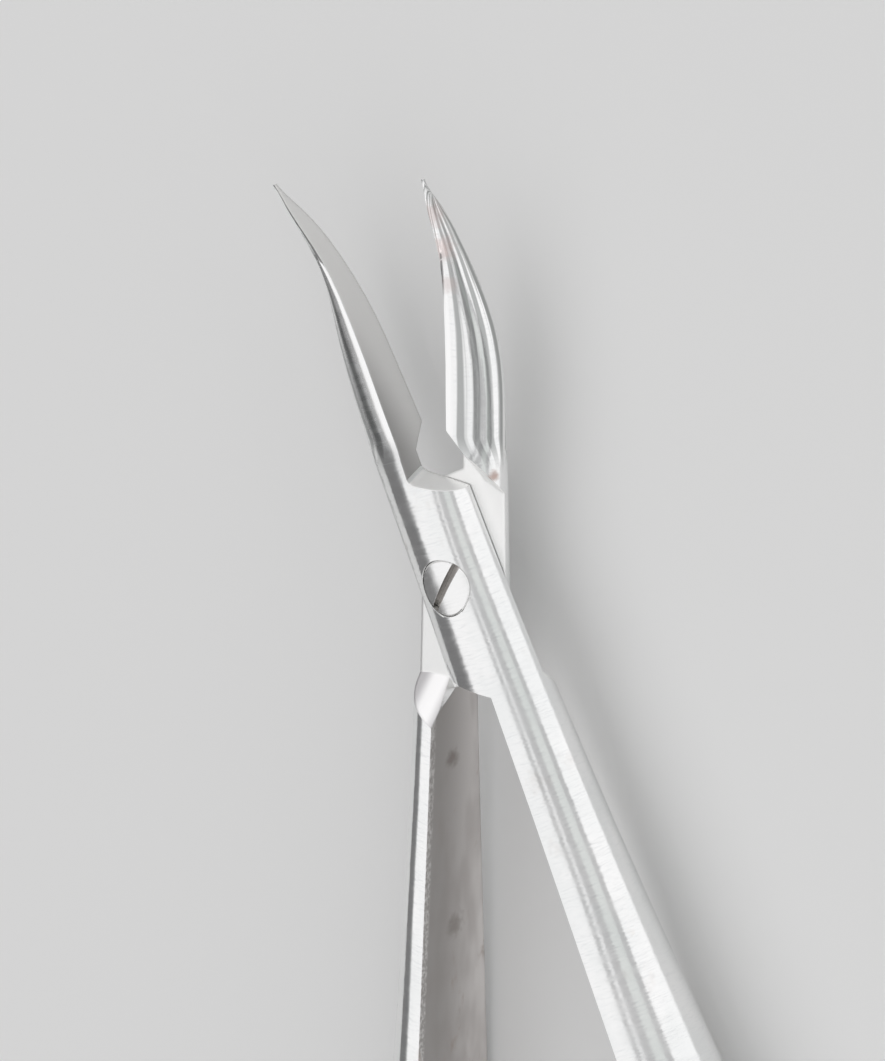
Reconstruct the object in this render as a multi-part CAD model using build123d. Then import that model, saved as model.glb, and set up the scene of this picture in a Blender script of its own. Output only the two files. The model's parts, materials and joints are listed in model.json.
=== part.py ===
from build123d import *
import os
from math import asin, atan, cos, degrees, radians, sin, tan

os.makedirs("parts", exist_ok=True)

# Microsurgical needle holder with curved jaws and half-round handles, stored open, lying on a table.
# All sizes are in millimetres. Each arm is built along Y with the pivot at the origin and the jaws
# towards +Y. The pivot axis is Z, and the joint's two halves meet at Z = 0.

# Opening of the instrument: each arm stands this many degrees away from the middle line.
half_opening = 12.5

# The round bar that both arms are ground from: place along the bar, half width, half thickness.
bar_sections = [
    (9.5, 2.46, 1.40),
    (5.0, 2.58, 1.64),
    (0.0, 2.63, 1.86),
    (-6.5, 2.80, 2.13),
    (-15.0, 3.16, 2.58),
    (-24.5, 3.80, 3.12),
    (-33.0, 4.36, 3.60),
    (-40.0, 4.68, 3.88),
    (-46.0, 4.75, 3.95),
    (-64.0, 4.75, 3.95),
    (-70.0, 4.68, 3.88),
    (-78.0, 4.30, 3.52),
    (-86.0, 3.70, 3.00),
]
handle_end = -86.0
end_dome_radius = 5.4

# The jaws: place, width of one jaw, upper edge, lower edge, share of the height that lies below the
# widest line. They curve up, away from the joint's plane, and run out to a fine tip. Both lean
# inwards by a few tenths of a degree, so that their flat sides meet before the handles do.
jaw_root = 7.0
jaw_sections = [
    (jaw_root, 2.60, 1.52, -1.40, 0.49),
    (9.5, 2.53, 1.47, -1.16, 0.41),
    (11.2, 2.46, 1.44, -1.03, 0.36),
    (12.8, 2.28, 1.44, -0.90, 0.32),
    (14.5, 1.90, 1.49, -0.67, 0.27),
    (16.9, 1.17, 1.68, -0.06, 0.22),
    (19.2, 0.66, 2.27, 0.86, 0.22),
    (21.1, 0.34, 2.96, 2.06, 0.25),
    (22.7, 0.14, 3.42, 3.20, 0.50),
]
jaw_lean = 0.55
closed_gap = 0.03

# The lap joint, in the front arm's own position. Each lap ends in a sloping nose. Each wall below
# is what stands off the other arm's nose. A slope is given as the change across and with height.
lap_gap = 0.04
jaw_nose = 6.10
jaw_nose_slope = (-0.574, -0.253)
inner_corner_radius = 0.80
inner_corner_clearance = 0.10
handle_nose = -5.90
handle_nose_slope = (-0.527, 0.05)
jaw_wall = 6.28
jaw_wall_slope = (0.417, -1.137)
heel_relief = 7.10
heel_relief_slope = (1.00, -0.95)
handle_wall = -5.65
handle_wall_radius = 5.85
handle_wall_middle = 1.50
handle_wall_lean = 0.95
handle_wall_height = 5.00
handle_relief = -7.40
handle_relief_slope = (1.90, 0.60)

# Flat inner faces of the handles: they stand apart when the jaws are closed.
flat_offset = 0.60
flat_angle = 0.6
flat_pivot = -6.60

# The pivot screw.
head_diameter = 3.00
head_seat = 0.95
shank_diameter = 1.80
running_clearance = 0.03
slot_width = 0.42
slot_depth = 0.60
slot_angle = -37.6
rim_chamfer = 0.06
head_chamfer = 0.10
flush_depth = 0.02

# Return springs: a leaf on each handle flat, bowed until both meet at the tail.
leaf_thickness = 0.50
leaf_width = 4.40
leaf_seat = 1.30
leaf_start = -49.5
leaf_root = -58.5
tail_reach = 110.0
tongue_width = 2.00
tongue_length = 3.20
tee_width = 3.40
tee_length = 0.80
window_clearance = 0.25
window_length = 4.20
seat_play = 0.15

# Flush rivets of the leaves.
rivet_places = (-51.7, -56.3)
rivet_diameter = 1.00
rivet_head_diameter = 1.80
rivet_head_height = 0.35
rivet_depth = 2.20

far = 200.0


def block(x_range, y_range, z_range):
    """A box between the given limits."""
    spans = (x_range, y_range, z_range)
    size = [high - low for low, high in spans]
    middle = [(high + low) / 2 for low, high in spans]
    return Pos(*middle) * Box(*size)


def bar():
    """The ground bar: oval sections blended along its length, with a domed rear end."""
    sections = []
    for place, half_width, half_thickness in bar_sections:
        sections.append(Plane.XZ.offset(-place) * Ellipse(half_width, half_thickness))
    body = loft(sections)
    dome_centre = handle_end + end_dome_radius
    dome = Pos(0, dome_centre, 0) * Sphere(end_dome_radius)
    sleeve = Pos(0, (dome_centre + far) / 2, 0) * Rot(90, 0, 0) * Cylinder(end_dome_radius, far - dome_centre)
    return body & (dome + sleeve)


def jaw_section(place, width, upper, lower, share):
    """The D-shaped section of the left jaw: a flat gripping side and an oval back."""
    widest = lower + share * (upper - lower)
    grip = place * tan(radians(jaw_lean)) - closed_gap / 2
    with BuildSketch(Plane.XZ.offset(-place)) as section:
        with BuildLine():
            Line((grip, lower), (grip, upper))
            EllipticalCenterArc((grip, widest), width, upper - widest, start_angle=90, arc_size=90)
            EllipticalCenterArc((grip, widest), width, widest - lower, start_angle=180, arc_size=90)
        make_face()
    return section.sketch


def left_jaw():
    """The curved jaw of the front arm with its root beside the joint, as full as the bar."""
    root = bar() & block((-far, far), (0, jaw_root), (-far, far))
    root &= Rot(0, 0, -jaw_lean) * block((-far, -closed_gap / 2), (-far, far), (-far, far))
    return root + loft([jaw_section(*values) for values in jaw_sections])


def beyond(start, slope):
    """All that lies further towards the jaws than a sloping plane."""
    across, rise = slope
    face = Plane(origin=(0, start, 0), z_dir=(-across, 1, -rise))
    return face * Box(far, far, far, align=(Align.CENTER, Align.CENTER, Align.MIN))


def handle_shoulder():
    """The end of the handle's full thickness: a wall that is round from side to side and leans back."""
    foot_radius = handle_wall_radius - handle_wall_lean * handle_wall_height
    cone = Cone(foot_radius, handle_wall_radius, handle_wall_height, align=(Align.CENTER, Align.CENTER, Align.MAX))
    middle = handle_wall - handle_wall_radius
    body = Pos(handle_wall_middle, middle, lap_gap / 2) * cone + block((-far, far), (-2 * far, middle), (-far, far))
    return body - beyond(handle_relief, handle_relief_slope)


def layers():
    """The upper and the lower half of everything, parted where the laps meet."""
    upper = block((-far, far), (-far, far), (lap_gap / 2, far))
    lower = block((-far, far), (-far, far), (-far, lap_gap / 2))
    return upper, lower


def jaw_shoulder_room():
    """What the jaw's root loses below the lap, so that the other arm's lap can turn in it."""
    _, lower = layers()
    wall = beyond(jaw_wall, jaw_wall_slope) & beyond(heel_relief, heel_relief_slope)
    return lower - wall


def inner_corner():
    """The rounded corner between the front lap's nose and the flat side of its jaw."""
    across, rise = jaw_nose_slope
    corner = Plane(origin=(0, jaw_nose, 0), x_dir=(1, 0, 0), z_dir=(0, rise, 1))
    nose_turn = degrees(atan(across))
    half_angle = radians(90 - nose_turn) / 2
    reach = inner_corner_radius / tan(half_angle)
    on_nose = Rot(0, 0, nose_turn) * Pos(reach, 0, 0)
    filling = make_face(Polyline((0, 0), (0, reach), on_nose.position, close=True))
    filling -= Pos(inner_corner_radius, reach) * Circle(inner_corner_radius)
    upper, _ = layers()
    wall_across, wall_rise = jaw_wall_slope
    wall = beyond(jaw_wall - inner_corner_clearance, (-wall_across, -wall_rise))
    return (corner * extrude(filling, far) & bar() & upper) - wall


def lap_and_handle():
    """Front arm without its jaw: the upper lap and the right half of the handle."""
    rod = bar()
    upper, lower = layers()
    lap = (rod & upper & beyond(handle_nose, handle_nose_slope)) - beyond(jaw_nose, jaw_nose_slope)

    flat = Plane(origin=(flat_offset, flat_pivot, 0), z_dir=(1, 0, 0)).rotated((0, 0, flat_angle))
    handle_side = flat * Box(2 * far, 2 * far, far, align=(Align.CENTER, Align.CENTER, Align.MIN))
    handle = rod & handle_side & block((-far, far), (-2 * far, 0), (-far, far))
    handle = (handle & upper) + (handle & lower & handle_shoulder())
    return lap + handle


def on_front(shape):
    """Turn a shape from the arm's own position to the front arm's open position."""
    return Rot(0, 0, half_opening) * shape


def on_rear(shape):
    """Turn a shape from the arm's own position to the rear arm's open position."""
    return Rot(0, 0, -half_opening) * shape


def screw_hole(diameter, seat=None):
    """The pivot's hole through the joint, with the pocket for the screw's head where one is asked."""
    hole = Cylinder(diameter / 2, far)
    if seat is not None:
        pocket_radius = head_diameter / 2 + running_clearance
        hole += Pos(0, 0, seat) * Cylinder(pocket_radius, far, align=(Align.CENTER, Align.CENTER, Align.MIN))
        rim = Cone(pocket_radius, pocket_radius + rim_chamfer, rim_chamfer)
        hole += Pos(0, 0, bar_thickness_at_pivot - rim_chamfer / 2) * rim
    return hole


def rivet(place):
    """One rivet: a tapered head flush with the leaf, its shank in the handle."""
    head = Cone(rivet_head_diameter / 2, rivet_diameter / 2, rivet_head_height)
    head = Pos(0, 0, rivet_head_height / 2) * head
    shank_length = leaf_thickness + rivet_depth
    shank = Pos(0, 0, shank_length / 2) * Cylinder(rivet_diameter / 2, shank_length)
    return Pos(leaf_seat - leaf_thickness, place, 0) * Rot(0, 90, 0) * (head + shank)


def leaf():
    """A return leaf in the front arm's own position, and the place and turn of its meeting point.

    A straight foot lies on the handle's seat, and one even bow brings the leaf to the tail."""
    half = leaf_thickness / 2
    centre = leaf_seat - half
    meeting = Vector(-tail_reach * sin(radians(half_opening)), -tail_reach * cos(radians(half_opening)))
    across = centre - meeting.X
    along = leaf_root - meeting.Y
    bow_radius = (across**2 + along**2) / (2 * across)
    turn = degrees(asin(along / bow_radius))

    foot = block((centre - half, centre + half), (leaf_root, leaf_start), (-leaf_width / 2, leaf_width / 2))
    bow = Cylinder(bow_radius + half, leaf_width) - Cylinder(bow_radius - half, leaf_width)
    bow &= block((0, far), (-far, 0), (-far, far))
    bow &= Rot(0, 0, -turn) * block((-far, far), (0, far), (-far, far))
    bow = Pos(centre - bow_radius, leaf_root, 0) * bow
    return foot + bow, Pos(meeting.X, meeting.Y, 0) * Rot(0, 0, -turn)


def leaf_end(length, width):
    """A straight strip beyond the meeting point, along the leaf."""
    half = leaf_thickness / 2
    return block((-half, half), (-length, 0), (-width / 2, width / 2))


def leaf_with_tongue():
    """The front leaf: its end is a narrow tongue with a tee that can't slip back."""
    body, tail = leaf()
    clear = tongue_length / 2
    for z_side in (-1, 1):
        edge = sorted((z_side * tongue_width / 2, z_side * leaf_width))
        body -= tail * block((-clear, clear), (-clear, clear), edge)
    body += tail * leaf_end(tongue_length, tongue_width)
    tee = block((-leaf_thickness / 2, leaf_thickness / 2), (-tongue_length, tee_length - tongue_length),
                (-tee_width / 2, tee_width / 2))
    return body + tail * tee


def leaf_with_window():
    """The rear leaf, built like the front one: a window near its end takes the tongue."""
    body, tail = leaf()
    half_window = tongue_width / 2 + window_clearance
    body += tail * leaf_end(window_length / 2 + tee_length, leaf_width)
    return body - tail * block((-far, far), (-window_length / 2, window_length / 2), (-half_window, half_window))


rod = bar()
bar_thickness_at_pivot = dict((place, half) for place, _, half in bar_sections)[0.0]
rivets = rivet(rivet_places[0]) + rivet(rivet_places[1])

# The two arms are the same below the jaws, turned half a turn about Y. Both jaws curve upwards.
half_joint = lap_and_handle()
half_joint -= block((-far, leaf_seat), (-far, leaf_start + seat_play),
                    (-leaf_width / 2 - seat_play, leaf_width / 2 + seat_play))
half_joint -= rivets

front_arm = half_joint + (left_jaw() - jaw_shoulder_room()) + inner_corner()
front_arm -= screw_hole(shank_diameter + 2 * running_clearance, head_seat)

right_jaw = left_jaw().mirror(Plane.YZ) - Rot(0, 180, 0) * jaw_shoulder_room()
rear_arm = Rot(0, 180, 0) * half_joint + right_jaw
rear_arm -= screw_hole(shank_diameter)

# The screw's ends are ground down to the bar's round surface.
head = Cylinder(head_diameter / 2, far, align=(Align.CENTER, Align.CENTER, Align.MIN))
head = Pos(0, 0, head_seat) * head & on_front(Pos(0, 0, -flush_depth) * rod)
shank = Pos(0, 0, head_seat) * Cylinder(shank_diameter / 2, far, align=(Align.CENTER, Align.CENTER, Align.MAX))
shank = shank & on_rear(Pos(0, 0, flush_depth) * rod)
slot_floor = bar_thickness_at_pivot - slot_depth
slot = block((-slot_width / 2, slot_width / 2), (-far, far), (slot_floor, far))
head = chamfer(head.edges().group_by(Axis.Z)[-1], head_chamfer)
pivot_screw = head + shank - Rot(0, 0, slot_angle) * slot

pieces = {
    "front_arm": on_front(front_arm),
    "rear_arm": on_rear(rear_arm),
    "pivot_screw": pivot_screw,
    "front_leaf_spring": on_front(leaf_with_tongue() - rivets),
    "rear_leaf_spring": on_rear(Rot(0, 180, 0) * (leaf_with_window() - rivets)),
    "front_spring_rivets": on_front(rivets),
    "rear_spring_rivets": on_rear(Rot(0, 180, 0) * rivets),
}

# The part's frame: the middle of the whole instrument, with the lowest point of the handles on the table.
extent = Compound(list(pieces.values())).bounding_box()
to_table = Pos(-extent.center().X, -extent.center().Y, -extent.min.Z)
for name, piece in pieces.items():
    export_step(to_table * piece, f"parts/{name}.step")
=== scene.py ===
import json
import math
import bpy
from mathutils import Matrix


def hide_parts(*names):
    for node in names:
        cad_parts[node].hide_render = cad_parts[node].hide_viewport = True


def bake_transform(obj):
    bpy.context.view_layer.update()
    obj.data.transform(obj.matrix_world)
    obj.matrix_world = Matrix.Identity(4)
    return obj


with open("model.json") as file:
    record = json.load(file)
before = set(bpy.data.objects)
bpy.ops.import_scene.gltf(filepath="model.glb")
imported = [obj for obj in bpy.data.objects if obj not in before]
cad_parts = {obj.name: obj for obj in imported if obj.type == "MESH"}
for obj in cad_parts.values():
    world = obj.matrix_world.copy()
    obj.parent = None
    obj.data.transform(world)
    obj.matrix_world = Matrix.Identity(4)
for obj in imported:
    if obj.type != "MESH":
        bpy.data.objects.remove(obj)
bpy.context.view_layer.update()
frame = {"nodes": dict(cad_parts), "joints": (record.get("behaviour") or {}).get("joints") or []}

from types import SimpleNamespace

import bmesh
import bpy
from mathutils import Matrix, Vector

mm = 0.001


# The two arms. Each is one piece of surgical stainless steel: half-round handle, half-lap and curved
# jaw. The round outside is ground across its length and the jaw is polished along its own. The flat
# inner faces, the lap and the gripping face are left matt from the blast cabinet.

pivot = Vector(frame["joints"][0]["pos_m"])
half_opening = math.radians(12.5)

# Where each finish begins and is whole, in millimetres along the arm from the pivot.
jaw_start = (6.2, 8.5)
grip_start = (4.8, 5.4)
grip_dark_start = (17.0, 10.0)
handle_flat_start = (-5.2, -5.8)
shoulder_start = (-5.0, -5.6)
rolled_edge_start = (-5.9, -6.7)
cut_face_start = (-12.0, -9.0)

# How squarely a face looks one way to count as flat, as level or as cut across the arm.
flat_squareness = (0.975, 0.99)
level_squareness = (0.985, 0.995)
cut_squareness = (0.50, 0.60)
round_agreement = (0.93, 0.96)
lap_depth = (0.20, 0.08)

# How far the shading turns at the fuller right side and at the flat's rolled edge, in degrees.
fuller_side_turn = 13
rolled_edge_turn = 22
broken_edge_radius = 0.22 * mm
relief_depth = 0.02 * mm

# Steel as it comes from each kind of work, and the painted light and shade that some parts carry.
clean_steel = (0.91, 0.91, 0.905)
clouded_steel = (0.86, 0.87, 0.865)
ring_steel = (0.72, 0.73, 0.74)
# Painted reflection: the dark stripes laid between the jaw's polish lines.
painted_reflection_stripe_steel = (0.42, 0.43, 0.425)
# Painted highlight: the jaw's ridge is lightened to show the bright line that it mirrors.
ridge_painted_highlight_steel = (0.95, 0.95, 0.945)
blasted_steel = (0.96, 0.96, 0.95)
# Painted shade on the handle's flat: light at its lower edge, darker towards its top.
flat_low_steel = (0.93, 0.90, 0.885)
flat_high_painted_shade = (0.46, 0.445, 0.435)
flat_cloud_steel = (0.38, 0.345, 0.33)
flat_edge_steel = (0.74, 0.73, 0.72)
grip_steel = (0.84, 0.835, 0.825)
grip_root_steel = (0.47, 0.465, 0.46)
# Painted highlight and painted shade across the shoulder behind the lap.
shoulder_painted_highlight_steel = (0.96, 0.955, 0.95)
shoulder_painted_shade_steel = (0.55, 0.54, 0.545)
brown_trace = (0.42, 0.33, 0.28)

# Along each arm: how round the bar is shaded, the height of the jaw's middle, and the jaw's oval.
# The first is set to place the bands, so it is near the bar's own oval but not equal to it.
handle_roundness = (
    (-86.0, 1.521), (-78.0, 1.492), (-70.0, 1.455), (-64.0, 1.446), (-46.0, 1.446), (-40.0, 1.455),
    (-33.0, 1.467), (-24.5, 1.50), (-15.0, 1.68), (-6.5, 1.70), (0.0, 1.66), (5.0, 1.95), (9.5, 2.40),
)
jaw_middles = (
    (7.0, 0.03), (9.5, -0.08), (11.2, -0.14), (12.8, -0.15), (14.5, -0.09), (16.9, 0.32), (19.2, 1.17),
    (21.1, 2.28), (22.7, 3.31),
)
jaw_ovals = (
    (7.0, 0.36), (9.5, 0.375), (11.2, 0.41), (12.8, 0.49), (14.5, 0.69), (16.9, 1.35), (19.2, 2.8),
    (21.1, 4.0), (22.7, 2.0),
)

# Stains: the centre and the reach in millimetres along the arm, the colour and the strength.
front_stains = (
    ((-2.0, 2.6, 1.3), 0.50, (0.74, 0.69, 0.66), 0.5),
    ((3.4, -20.0, 1.4), 0.50, (0.70, 0.62, 0.56), 0.6),
)
rear_stains = (
    ((-0.65, -10.1, 0.18), 0.85, (0.22, 0.18, 0.16), 0.6),
    ((-0.65, -19.6, -0.13), 1.10, (0.24, 0.20, 0.18), 0.5),
    ((-0.65, -13.3, -2.5), 0.60, (0.66, 0.64, 0.62), 0.8),
    ((2.3, 6.3, 0.6), 0.50, (0.34, 0.20, 0.15), 0.7),
    ((0.1, 20.6, 2.8), 1.30, (0.52, 0.41, 0.39), 0.5),
    ((0.1, 18.6, 2.1), 1.30, (0.52, 0.41, 0.39), 0.6),
    ((0.1, 16.6, 1.6), 0.90, (0.55, 0.44, 0.42), 0.4),
)


def metal(name):
    """A new metal material, with its nodes and its shader."""
    material = bpy.data.materials.new(name)
    material.use_nodes = True
    tree = material.node_tree
    steel = tree.nodes["Principled BSDF"]
    steel.inputs["Metallic"].default_value = 1.0
    return material, tree, steel


def node(tree, kind, options=None, **inputs):
    """Adds a shader node. Inputs are given by name or as i0, i1 and so on, as sockets or numbers."""
    made = tree.nodes.new(kind)
    for name, value in (options or {}).items():
        setattr(made, name, value)
    for name, value in inputs.items():
        key = int(name[1:]) if name[0] == "i" and name[1:].isdigit() else name.replace("_", " ")
        if isinstance(value, bpy.types.NodeSocket):
            tree.links.new(value, made.inputs[key])
        else:
            made.inputs[key].default_value = value
    return made


def number(tree, operation, a, b=0.0, c=0.0):
    """One step of arithmetic."""
    return node(tree, "ShaderNodeMath", {"operation": operation}, i0=a, i1=b, i2=c).outputs[0]


def times(tree, a, b):
    """The product of two values."""
    return number(tree, "MULTIPLY", a, b)


def size_of(tree, value):
    """A value without its sign."""
    return number(tree, "ABSOLUTE", value)


def outside(tree, mask):
    """Where a mask doesn't hold."""
    return number(tree, "SUBTRACT", 1.0, mask)


def either(tree, a, b):
    """Where one of two masks holds."""
    return number(tree, "MAXIMUM", a, b)


def both(tree, *masks):
    """Where all the masks hold."""
    result = masks[0]
    for mask in masks[1:]:
        result = times(tree, result, mask)
    return result


def to_either_side(tree, noise, reach):
    """Noise as a value that swings to both sides of zero."""
    return times(tree, number(tree, "SUBTRACT", noise, 0.5), reach)


def ramp(tree, value, low, high, to_low=0.0, to_high=1.0):
    """A soft step from one value to another as the input goes from low to high."""
    return node(
        tree, "ShaderNodeMapRange", {"interpolation_type": "SMOOTHSTEP"},
        i0=value, i1=low, i2=high, i3=to_low, i4=to_high,
    ).outputs[0]


def past_angle(tree, angle, low, high, turned=1.0):
    """A soft step from one angle to another, in degrees round the arm."""
    return ramp(tree, angle, math.radians(low), math.radians(high), 0.0, turned)


def blend_value(tree, mask, a, b):
    """a where the mask is 0, b where it is 1."""
    return node(tree, "ShaderNodeMix", {"data_type": "FLOAT"}, i0=mask, i2=a, i3=b).outputs[0]


def blend_direction(tree, mask, a, b):
    """Direction a where the mask is 0, b where it is 1."""
    return node(tree, "ShaderNodeMix", {"data_type": "VECTOR"}, i0=mask, i4=a, i5=b).outputs[1]


def blend_colour(tree, mask, a, b):
    """Colour a where the mask is 0, b where it is 1."""
    first, second = ((*colour, 1.0) if isinstance(colour, tuple) else colour for colour in (a, b))
    return node(tree, "ShaderNodeMix", {"data_type": "RGBA"}, i0=mask, i6=first, i7=second).outputs[2]


def parts(tree, arrow):
    """The three parts of a place or a direction."""
    return node(tree, "ShaderNodeSeparateXYZ", None, i0=arrow).outputs


def arrow_of(tree, x, y, z=0.0):
    """A place or a direction from its three parts."""
    return node(tree, "ShaderNodeCombineXYZ", None, i0=x, i1=y, i2=z).outputs[0]


def grain(tree, place, scale, stretch=(1.0, 1.0, 1.0), detail=3.0, rough=0.5):
    """Noise in millimetres, stretched along the directions of the arm."""
    stretched = node(
        tree, "ShaderNodeMapping", {"vector_type": "POINT"}, Vector=place, Scale=stretch
    ).outputs[0]
    return node(
        tree, "ShaderNodeTexNoise", None, Vector=stretched, Scale=scale, Detail=detail, Roughness=rough
    ).outputs[0]


def arm_directions(tree, turn):
    """The place in millimetres and the surface direction, along the arm's own axes from the pivot."""
    told = node(tree, "ShaderNodeTexCoord")
    place = node(
        tree, "ShaderNodeMapping", {"vector_type": "TEXTURE"},
        Vector=told.outputs["Object"], Location=pivot, Rotation=(0.0, 0.0, turn), Scale=(mm, mm, mm),
    ).outputs[0]
    facing = node(
        tree, "ShaderNodeMapping", {"vector_type": "TEXTURE"},
        Vector=told.outputs["Normal"], Rotation=(0.0, 0.0, turn),
    ).outputs[0]
    return place, facing


def along_arm(tree, y, points):
    """A value read from a table of places along the arm and values there."""
    first, last = points[0][0], points[-1][0]
    low = min(value for _, value in points)
    high = max(value for _, value in points)
    table = node(tree, "ShaderNodeFloatCurve")
    curve = table.mapping.curves[0]
    stations = [((place - first) / (last - first), (value - low) / (high - low)) for place, value in points]
    curve.points[0].location = stations[0]
    curve.points[1].location = stations[-1]
    for station in stations[1:-1]:
        curve.points.new(*station)
    table.mapping.update()
    share = number(tree, "DIVIDE", number(tree, "SUBTRACT", y, first), last - first)
    tree.links.new(share, table.inputs["Value"])
    return number(tree, "MULTIPLY_ADD", table.outputs[0], high - low, low)


def finish_areas(tree, place, facing, flat_side):
    """Masks of the jaw and of the faces that were left matt."""
    _, y, z = parts(tree, place)
    nx, ny, nz = parts(tree, facing)
    flat_low, flat_whole = flat_squareness
    towards_flat = times(tree, nx, flat_side)
    faces_flat = ramp(tree, towards_flat, flat_low, flat_whole)
    faces_grip = ramp(tree, towards_flat, -flat_low, -flat_whole)
    area = SimpleNamespace()
    area.jaw = ramp(tree, y, *jaw_start)
    area.handle_flat = both(tree, faces_flat, ramp(tree, y, *handle_flat_start))
    area.grip_face = both(tree, faces_grip, ramp(tree, y, *grip_start))
    level = ramp(tree, size_of(tree, nz), *level_squareness)
    area.lap_face = both(tree, level, ramp(tree, size_of(tree, z), *lap_depth))
    area.cut_face = both(tree, ramp(tree, size_of(tree, ny), *cut_squareness), ramp(tree, y, *cut_face_start))
    area.shoulder = both(tree, area.cut_face, ramp(tree, y, *shoulder_start))
    area.milled = either(tree, area.lap_face, area.cut_face)
    area.matt = either(tree, either(tree, area.handle_flat, area.grip_face), area.milled)
    return area


def round_form(tree, place, facing, area):
    """The angle round the arm, the direction it is shaded with, and the parts of the jaw by angle.

    The shading follows the oval of the bar and the blade of the jaw, with the oval eased and the two
    sides turned a little to set where the bands run. Other faces keep their own direction."""
    x, y, z = parts(tree, place)
    ny = parts(tree, facing)[1]
    form = SimpleNamespace()
    form.jaw_oval = along_arm(tree, y, jaw_ovals)
    above_bar = times(tree, z, along_arm(tree, y, handle_roundness))
    above_jaw = number(tree, "SUBTRACT", z, along_arm(tree, y, jaw_middles))
    form.upright = blend_value(tree, area.jaw, above_bar, above_jaw)
    sideways = times(tree, x, blend_value(tree, area.jaw, 1.0, form.jaw_oval))
    angle = number(tree, "ARCTAN2", form.upright, sideways)
    across = number(tree, "SQRT", number(tree, "SUBTRACT", 1.0, times(tree, ny, ny)))

    fuller_side = past_angle(tree, angle, 38, 20, math.radians(fuller_side_turn))
    rolled_edge = both(
        tree, past_angle(tree, angle, 128, 102, math.radians(rolled_edge_turn)),
        past_angle(tree, angle, 86, 92), ramp(tree, y, *rolled_edge_start),
    )
    shaded_angle = number(tree, "SUBTRACT", number(tree, "ADD", angle, fuller_side), rolled_edge)
    plain, shaded = (
        arrow_of(
            tree, times(tree, number(tree, "COSINE", leaning), across), ny,
            times(tree, number(tree, "SINE", leaning), across),
        )
        for leaning in (angle, shaded_angle)
    )
    agreement = node(tree, "ShaderNodeVectorMath", {"operation": "DOT_PRODUCT"}, i0=plain, i1=facing)
    is_round = both(tree, ramp(tree, agreement.outputs["Value"], *round_agreement), outside(tree, area.matt))
    form.direction = blend_direction(tree, is_round, facing, shaded)

    form.outer_jaw = both(tree, area.jaw, past_angle(tree, angle, 92, 97))
    form.ridge = both(tree, area.jaw, past_angle(tree, angle, 99, 95), past_angle(tree, angle, 83, 88))
    return form


def worked_marks(tree, place, form, area):
    """The marks of the grinding wheel and of the polish, and how far they lean the surface.

    The wheel leaves rings round the handle. The jaw was polished along its length instead, so its marks run
    from root to tip and follow its oval. Across the jaw, dark stripes of painted reflection lie between the
    bright lines that its polish mirrors."""
    x, y, _ = parts(tree, place)
    marks = SimpleNamespace()
    marks.rings = grain(tree, place, 1.0, (0.30, 2.6, 0.30), 2.0, 0.6)
    marks.fine_rings = grain(tree, place, 1.0, (1.2, 11.0, 1.2), 4.0, 0.8)
    half_oval = number(tree, "SQRT", form.jaw_oval)
    round_jaw = number(tree, "ARCTAN2", form.upright, times(tree, x, half_oval))
    stroke_place = arrow_of(tree, times(tree, round_jaw, 5.0), times(tree, y, 0.05))
    uneven = grain(tree, stroke_place, 1.0, (1.0, 1.0, 1.0), 2.0, 0.55)
    marks.fine_strokes = grain(tree, stroke_place, 1.0, (7.0, 5.0, 1.0), 3.0, 0.7)
    # Painted reflection: a mask of dark stripes across the jaw, set by the angle round its oval.
    reflection_stripe_count = number(tree, "ADD", times(tree, round_jaw, 17.0), times(tree, uneven, 5.0))
    marks.strokes = ramp(tree, number(tree, "SINE", reflection_stripe_count), -0.5, 0.9)

    handle_lean = number(
        tree, "ADD", to_either_side(tree, marks.rings, 0.007), to_either_side(tree, marks.fine_rings, 0.13)
    )
    jaw_lean = number(
        tree, "ADD", to_either_side(tree, uneven, 0.4), to_either_side(tree, marks.fine_strokes, 0.25)
    )
    marks.lean = both(
        tree, blend_value(tree, area.jaw, handle_lean, jaw_lean), outside(tree, area.matt),
        blend_value(tree, form.outer_jaw, 1.0, 0.12), outside(tree, form.ridge),
    )
    return marks


def marked_direction(tree, form, marks, area, turn):
    """The direction leaned by the marks on round faces, and the matt faces with their edges broken."""
    sidestep = node(
        tree, "ShaderNodeVectorMath", {"operation": "CROSS_PRODUCT"}, i0=form.direction, i1=(0.0, 1.0, 0.0)
    ).outputs[0]
    leaned = node(
        tree, "ShaderNodeVectorMath", {"operation": "MULTIPLY_ADD"},
        i0=sidestep, i1=arrow_of(tree, marks.lean, marks.lean, marks.lean), i2=form.direction,
    ).outputs[0]
    turned_back = node(
        tree, "ShaderNodeMapping", {"vector_type": "NORMAL"}, Vector=leaned, Rotation=(0.0, 0.0, turn)
    ).outputs[0]
    direction = node(
        tree, "ShaderNodeVectorTransform",
        {"vector_type": "NORMAL", "convert_from": "OBJECT", "convert_to": "WORLD"}, i0=turned_back,
    ).outputs[0]
    broken_edge = node(tree, "ShaderNodeBevel", {"samples": 6}, Radius=broken_edge_radius).outputs[0]
    return blend_direction(tree, area.matt, direction, broken_edge)


def flat_colour(tree, place, cloud):
    """The handle's flat: painted shade darkens it from its lower edge up to its top, and it is clouded, with
    a speckled band at the top.
    """
    _, y, z = parts(tree, place)
    # Painted shade: darker towards the top of the flat.
    colour = blend_colour(tree, ramp(tree, z, -3.6, 1.6), flat_low_steel, flat_high_painted_shade)
    colour = blend_colour(tree, ramp(tree, cloud, 0.42, 0.62, 0.0, 0.30), colour, flat_cloud_steel)
    edge_band = ramp(tree, number(tree, "MULTIPLY_ADD", y, 0.053, z), 1.16, 1.36)
    speckles = ramp(tree, grain(tree, place, 5.5, (1.0, 0.7, 1.0), 2.0, 0.6), 0.35, 0.65)
    return blend_colour(tree, both(tree, edge_band, speckles), colour, flat_edge_steel)


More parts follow.
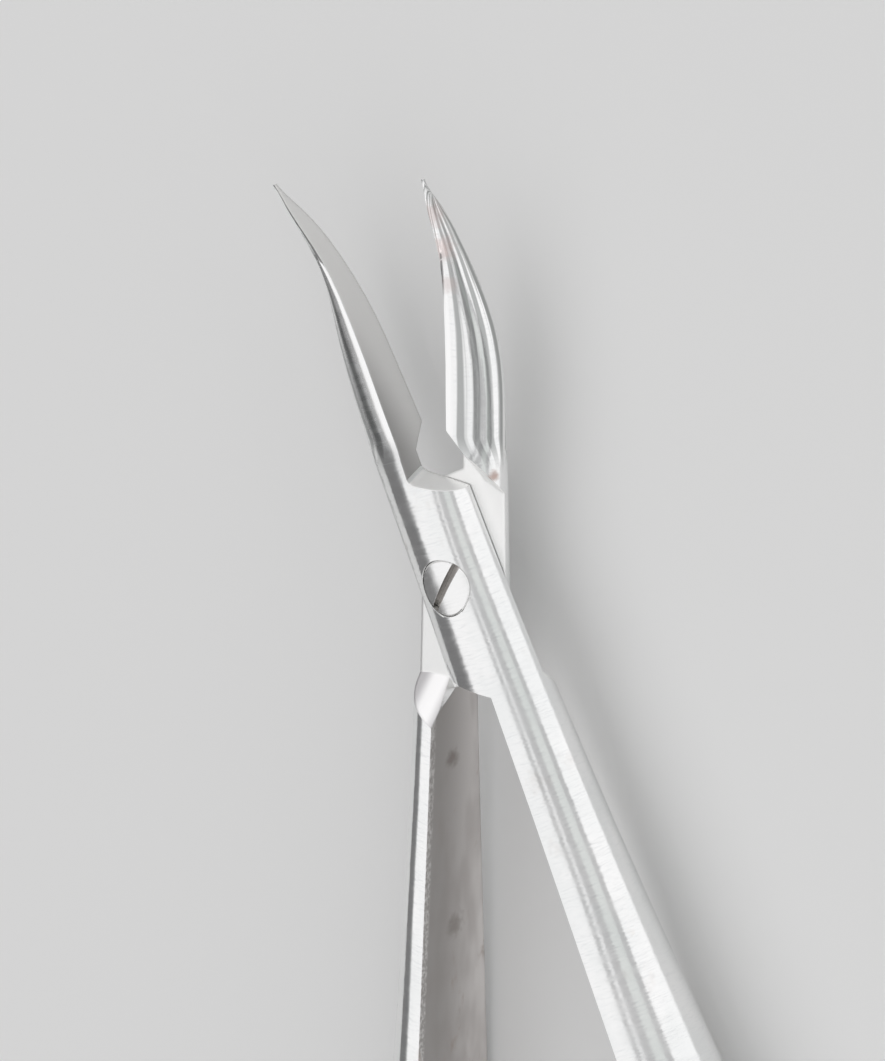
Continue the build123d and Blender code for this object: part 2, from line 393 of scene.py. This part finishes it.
def grip_colour(tree, place):
    """The gripping face, darker at its root."""
    _, y, z = parts(tree, place)
    below_edge = ramp(tree, number(tree, "SUBTRACT", z, times(tree, y, 0.16)), -2.2, 0.6)
    root = both(tree, below_edge, ramp(tree, y, *grip_dark_start))
    return blend_colour(tree, root, grip_steel, grip_root_steel)


def shoulder_painted_shading(tree, place):
    """The shoulder behind the lap, with a painted highlight along its middle and painted shade to both sides.
    """
    x = parts(tree, place)[0]
    off_middle = size_of(tree, number(tree, "SUBTRACT", size_of(tree, x), 1.45))
    return blend_colour(tree, ramp(tree, off_middle, 0.25, 1.0), shoulder_painted_highlight_steel, shoulder_painted_shade_steel)


def spot(tree, place, centre, reach):
    """1 at a spot on the arm, falling to 0 at its reach, with a ragged rim."""
    away = node(tree, "ShaderNodeVectorMath", {"operation": "DISTANCE"}, i0=place, i1=centre).outputs["Value"]
    ragged = number(tree, "MULTIPLY_ADD", grain(tree, place, 2.6), 0.9 * reach, away)
    return ramp(tree, ragged, 1.35 * reach, 0.55 * reach)


def arm_colour(tree, place, form, marks, area, stains):
    """Clean steel with its marks, the tone of each matt face, faint brown traces and stains, and painted
    light: reflection stripes across the jaw, a highlight on its ridge, and shade on the flat and the
    shoulder.
    """
    cloud = grain(tree, place, 0.55, (1.0, 0.35, 1.0), 2.0)
    colour = blend_colour(tree, ramp(tree, cloud, 0.35, 0.65), clean_steel, clouded_steel)
    colour = blend_colour(tree, ramp(tree, marks.fine_rings, 0.48, 0.68, 0.0, 0.42), colour, ring_steel)
    # Painted reflection stripes across the jaw.
    colour = blend_colour(tree, both(tree, area.jaw, outside(tree, marks.strokes)), colour, painted_reflection_stripe_steel)
    # Painted highlight along the jaw's ridge.
    colour = blend_colour(tree, form.ridge, colour, ridge_painted_highlight_steel)
    colour = blend_colour(tree, area.handle_flat, colour, flat_colour(tree, place, cloud))
    colour = blend_colour(tree, area.grip_face, colour, grip_colour(tree, place))
    colour = blend_colour(tree, area.milled, colour, blasted_steel)
    # Painted highlight and shade on the shoulder.
    colour = blend_colour(tree, area.shoulder, colour, shoulder_painted_shading(tree, place))
    trace = ramp(tree, grain(tree, place, 0.42, (1.0, 0.6, 1.0), 4.0, 0.65), 0.60, 0.78)
    trace_strength = ramp(tree, area.handle_flat, 0.2, 0.8, 0.15, 0.75)
    colour = blend_colour(tree, both(tree, trace, trace_strength), colour, brown_trace)
    for centre, reach, stain_colour, strength in stains:
        stain = times(tree, spot(tree, place, centre, reach), strength)
        colour = blend_colour(tree, stain, colour, stain_colour)
    return colour


def arm_steel(name, turn, flat_side, stains):
    """Stainless steel of one arm. flat_side is -1 where the handle's flat faces -X, and +1 where +X."""
    material, tree, steel = metal(name)
    place, facing = arm_directions(tree, turn)
    area = finish_areas(tree, place, facing, flat_side)
    form = round_form(tree, place, facing, area)
    marks = worked_marks(tree, place, form, area)
    blasted = grain(tree, place, 9.0, (1.0, 1.0, 1.0), 3.0, 0.7)
    worked = blend_value(tree, area.jaw, marks.fine_rings, marks.fine_strokes)
    relief = node(
        tree, "ShaderNodeBump", None,
        Strength=blend_value(tree, area.matt, 0.06, 0.5), Distance=relief_depth,
        Height=blend_value(tree, area.matt, worked, blasted),
        Normal=marked_direction(tree, form, marks, area, turn),
    ).outputs[0]
    shine = blend_value(tree, form.outer_jaw, 0.15, 0.27)
    shine = number(tree, "ADD", shine, ramp(tree, marks.rings, 0.35, 0.7, -0.03, 0.05))
    shine = blend_value(tree, form.ridge, shine, 0.12)
    shine = blend_value(tree, area.matt, shine, blend_value(tree, area.shoulder, 0.46, 0.30))
    tree.links.new(arm_colour(tree, place, form, marks, area, stains), steel.inputs["Base Color"])
    tree.links.new(shine, steel.inputs["Roughness"])
    tree.links.new(relief, steel.inputs["Normal"])
    return material


def give(cad_node, material):
    """Puts a material on a CAD node."""
    shown = frame["nodes"][cad_node]
    shown.data.materials.clear()
    shown.data.materials.append(material)


give("front_arm", arm_steel("front_arm_steel", half_opening, -1.0, front_stains))
give("rear_arm", arm_steel("rear_arm_steel", -half_opening, 1.0, rear_stains))


# The pivot screw. It is steel, ground flush with the outside of the joint, so it carries on the arm's
# round form and its ring marks. Only the slot and the thin gap round the head tell it from the arm.

slot_floor_height = 1.26
head_edge_radius = 0.04 * mm
head_steel = (0.90, 0.90, 0.895)
# Painted shade in the slot: on its floor, and on the faces that don't face up.
slot_floor_painted_shade = (0.55, 0.53, 0.51)
slot_wall_painted_shade = (0.26, 0.25, 0.24)


def screw_steel():
    """Ground steel on the head, with painted shade in the slot: darker on its floor, and darker still on
    every face that doesn't face up.
    """
    material, tree, steel = metal("screw_steel")
    place, facing = arm_directions(tree, half_opening)
    face_marks = grain(tree, place, 1.0, (1.2, 11.0, 1.2), 4.0, 0.6)
    facing_up = ramp(tree, parts(tree, facing)[2], 0.3, 0.6)
    slot_floor = ramp(tree, parts(tree, place)[2], slot_floor_height + 0.12, slot_floor_height + 0.04)
    ground = blend_colour(tree, slot_floor, head_steel, slot_floor_painted_shade)
    edge = node(tree, "ShaderNodeBevel", {"samples": 4}, Radius=head_edge_radius).outputs[0]
    relief = node(
        tree, "ShaderNodeBump", None, Strength=0.25, Distance=relief_depth, Height=face_marks, Normal=edge
    ).outputs[0]
    # Painted shade on every face that doesn't face up, such as the slot's walls.
    tree.links.new(blend_colour(tree, facing_up, slot_wall_painted_shade, ground), steel.inputs["Base Color"])
    tree.links.new(ramp(tree, face_marks, 0.35, 0.7, 0.17, 0.26), steel.inputs["Roughness"])
    tree.links.new(relief, steel.inputs["Normal"])
    return material


give("pivot_screw", screw_steel())


# The return springs. Two leaves of rolled spring steel are riveted inside the handles and bowed until
# they meet at the tail. They bend when the handles are squeezed, so each is cut finely along itself.

tail = Vector((0.0, -64.820 * mm, pivot.z))
leaf_root = Vector((13.69 * mm, -11.70 * mm, pivot.z))
leaf_cuts = 60
leaf_light_steel = (0.70, 0.695, 0.68)
leaf_dark_steel = (0.62, 0.615, 0.60)


def leaf_steel():
    """Rolled spring steel: a long grain and a slightly warmer, darker tone than the arms."""
    material, tree, steel = metal("leaf_steel")
    told = node(tree, "ShaderNodeTexCoord")
    place = node(
        tree, "ShaderNodeMapping", {"vector_type": "POINT"}, Vector=told.outputs["Object"],
        Scale=(1 / mm, 1 / mm, 1 / mm),
    ).outputs[0]
    rolled = grain(tree, place, 1.0, (0.5, 0.25, 9.0), 4.0, 0.6)
    tone = grain(tree, place, 0.2, (1.0, 1.0, 1.0), 2.0)
    relief = node(tree, "ShaderNodeBump", None, Strength=0.2, Distance=relief_depth, Height=rolled).outputs[0]
    colour = blend_colour(tree, ramp(tree, tone, 0.35, 0.65), leaf_light_steel, leaf_dark_steel)
    tree.links.new(colour, steel.inputs["Base Color"])
    tree.links.new(ramp(tree, rolled, 0.3, 0.7, 0.24, 0.34), steel.inputs["Roughness"])
    tree.links.new(relief, steel.inputs["Normal"])
    return material


def cut_leaf(cad_node, side):
    """The leaf's form, cut across at even steps from its root to the tail.

    Facets that lie in one plane are joined first, because cuts through their narrow triangles leave
    slivers that spoil the shading along the leaf's edges."""
    mesh = frame["nodes"][cad_node].data.copy()
    cut = bmesh.new()
    cut.from_mesh(mesh)
    bmesh.ops.remove_doubles(cut, verts=cut.verts, dist=0.001 * mm)
    bmesh.ops.dissolve_limit(cut, angle_limit=math.radians(0.5), verts=cut.verts, edges=cut.edges)
    root = Vector((side * leaf_root.x, leaf_root.y, leaf_root.z))
    along = (tail - root).normalized()
    for step in range(leaf_cuts):
        whole = cut.verts[:] + cut.edges[:] + cut.faces[:]
        bmesh.ops.bisect_plane(cut, geom=whole, plane_co=root.lerp(tail, step / leaf_cuts), plane_no=along)
    cut.to_mesh(mesh)
    cut.free()
    leaf = bpy.data.objects.new(cad_node.replace("spring", "strip"), mesh)
    bpy.context.scene.collection.objects.link(leaf)
    mesh.materials.clear()
    mesh.shade_smooth()
    mesh.set_sharp_from_angle(angle=math.radians(30))
    return leaf, root


spring_steel = leaf_steel()
for cad_node, side, own, other in (
    ("front_leaf_spring", 1, "front_half", "rear_half"),
    ("rear_leaf_spring", -1, "rear_half", "front_half"),
):
    leaf, root = cut_leaf(cad_node, side)
    leaf.data.materials.append(spring_steel)
    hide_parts(cad_node)
    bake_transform(leaf)


# The rivets. Two flush rivets hold each leaf in its seat. They were pressed and filed level with the
# leaf, and show as small discs of duller steel.

rivet_dark_steel = (0.50, 0.49, 0.47)
rivet_light_steel = (0.66, 0.65, 0.63)
file_marks_scale = 9000.0


def filed_steel():
    """Duller steel with fine, even file marks."""
    material, tree, steel = metal("rivet_steel")
    told = node(tree, "ShaderNodeTexCoord")
    filed = node(
        tree, "ShaderNodeTexNoise", None, Vector=told.outputs["Object"], Scale=file_marks_scale, Detail=3.0
    ).outputs[0]
    tree.links.new(blend_colour(tree, filed, rivet_dark_steel, rivet_light_steel), steel.inputs["Base Color"])
    tree.links.new(ramp(tree, filed, 0.3, 0.7, 0.28, 0.42), steel.inputs["Roughness"])
    return material


rivet_steel = filed_steel()
for cad_node in ("front_spring_rivets", "rear_spring_rivets"):
    give(cad_node, rivet_steel)


# The floor. A plain pale table top lies under the instrument. It only carries the shadow and the
# reflection.

floor_reach = 3.0
floor_colour = (0.77, 0.77, 0.765, 1.0)

floor_mesh = bpy.data.meshes.new("floor")
corners = [(x * floor_reach, y * floor_reach, 0.0) for x, y in ((-1, -1), (1, -1), (1, 1), (-1, 1))]
floor_mesh.from_pydata(corners, [], [(0, 1, 2, 3)])
floor = bpy.data.objects.new("floor", floor_mesh)
bpy.context.scene.collection.objects.link(floor)
floor_paint = bpy.data.materials.new("floor_paint")
floor_paint.use_nodes = True
paint = floor_paint.node_tree.nodes["Principled BSDF"]
paint.inputs["Base Color"].default_value = floor_colour
paint.inputs["Roughness"].default_value = 0.9
floor_mesh.materials.append(floor_paint)


# The lights. Long soft boxes run with the instrument: a wide one above and to the left, a tall one
# low on the right, and two narrower ones between them. Plain pale surroundings fill the gaps.

handle_across = Vector((math.cos(half_opening), math.sin(half_opening), 0.0))
handle_along = Vector((-math.sin(half_opening), math.cos(half_opening), 0.0))
box_distance = 0.60
box_length = 1.20
white_light = (1.0, 1.0, 1.0)
green_light = (0.90, 1.0, 0.93)
wall_strength = (0.20, 0.56)
end_strength = 1.05


def soft_box(name, angle, spread, glow, colour):
    """A long soft box seen from the pivot at an angle above the right-hand side, in degrees."""
    lamp = bpy.data.lights.new(name, "AREA")
    lamp.shape = "RECTANGLE"
    lamp.color = colour
    lamp.size = 2 * box_distance * math.tan(math.radians(spread / 2))
    lamp.size_y = box_length
    lamp.energy = glow * lamp.size * lamp.size_y * math.pi
    turn = math.radians(angle)
    out = handle_across * math.cos(turn) + Vector((0.0, 0.0, 1.0)) * math.sin(turn)
    stance = Matrix((handle_along.cross(out), handle_along, out)).transposed().to_4x4()
    lit = bpy.data.objects.new(name, lamp)
    lit.matrix_world = Matrix.Translation(pivot + out * box_distance) @ stance
    bpy.context.scene.collection.objects.link(lit)


def room():
    """Pale walls, dimmer on the far left, with bright ends that the jaw and the handle's end mirror."""
    world = bpy.data.worlds.new("room")
    world.use_nodes = True
    tree = world.node_tree
    background = tree.nodes["Background"]
    looking = node(tree, "ShaderNodeTexCoord").outputs["Generated"]
    to_the_right = node(
        tree, "ShaderNodeVectorMath", {"operation": "DOT_PRODUCT"}, i0=looking, i1=handle_across
    ).outputs["Value"]
    to_the_ends = size_of(tree, parts(tree, looking)[1])
    walls = ramp(tree, to_the_right, -0.88, -0.70, *wall_strength)
    bright_ends = both(tree, ramp(tree, to_the_ends, 0.50, 0.75), ramp(tree, to_the_right, -0.60, -0.25))
    tree.links.new(blend_value(tree, bright_ends, walls, end_strength), background.inputs["Strength"])
    background.inputs["Color"].default_value = (0.995, 0.99, 1.0, 1.0)
    return world


soft_box("box_left", 111.0, 58.0, 0.44, white_light)
soft_box("box_line", 72.0, 6.0, 0.34, white_light)
soft_box("box_middle", 47.0, 17.0, 0.22, green_light)
soft_box("box_right", 13.5, 27.0, 0.50, white_light)
bpy.context.scene.world = room()
bpy.context.scene.view_settings.view_transform = "Standard"


# The camera. A long lens looks down over the right-hand side, with the jaws at the top of the
# picture. Its place and its aim are in millimetres, in the instrument's own frame.

stand = Vector((334.022, 174.008, 434.478)) * mm
aim = Vector((-0.858, 47.750, 3.765)) * mm
picture_up = Vector((0.0108, 0.9573, -0.2890))

camera = bpy.data.objects.new("camera", bpy.data.cameras.new("camera"))
camera.data.sensor_width = 36.0
camera.data.lens = 367.1
camera.data.clip_start = 0.05
camera.data.clip_end = 10.0
backward = (stand - aim).normalized()
rightward = picture_up.cross(backward).normalized()
upward = backward.cross(rightward)
facing_aim = Matrix((rightward, upward, backward)).transposed().to_4x4()
camera.matrix_world = Matrix.Translation(stand) @ facing_aim
bpy.context.scene.collection.objects.link(camera)
bpy.context.scene.camera = camera
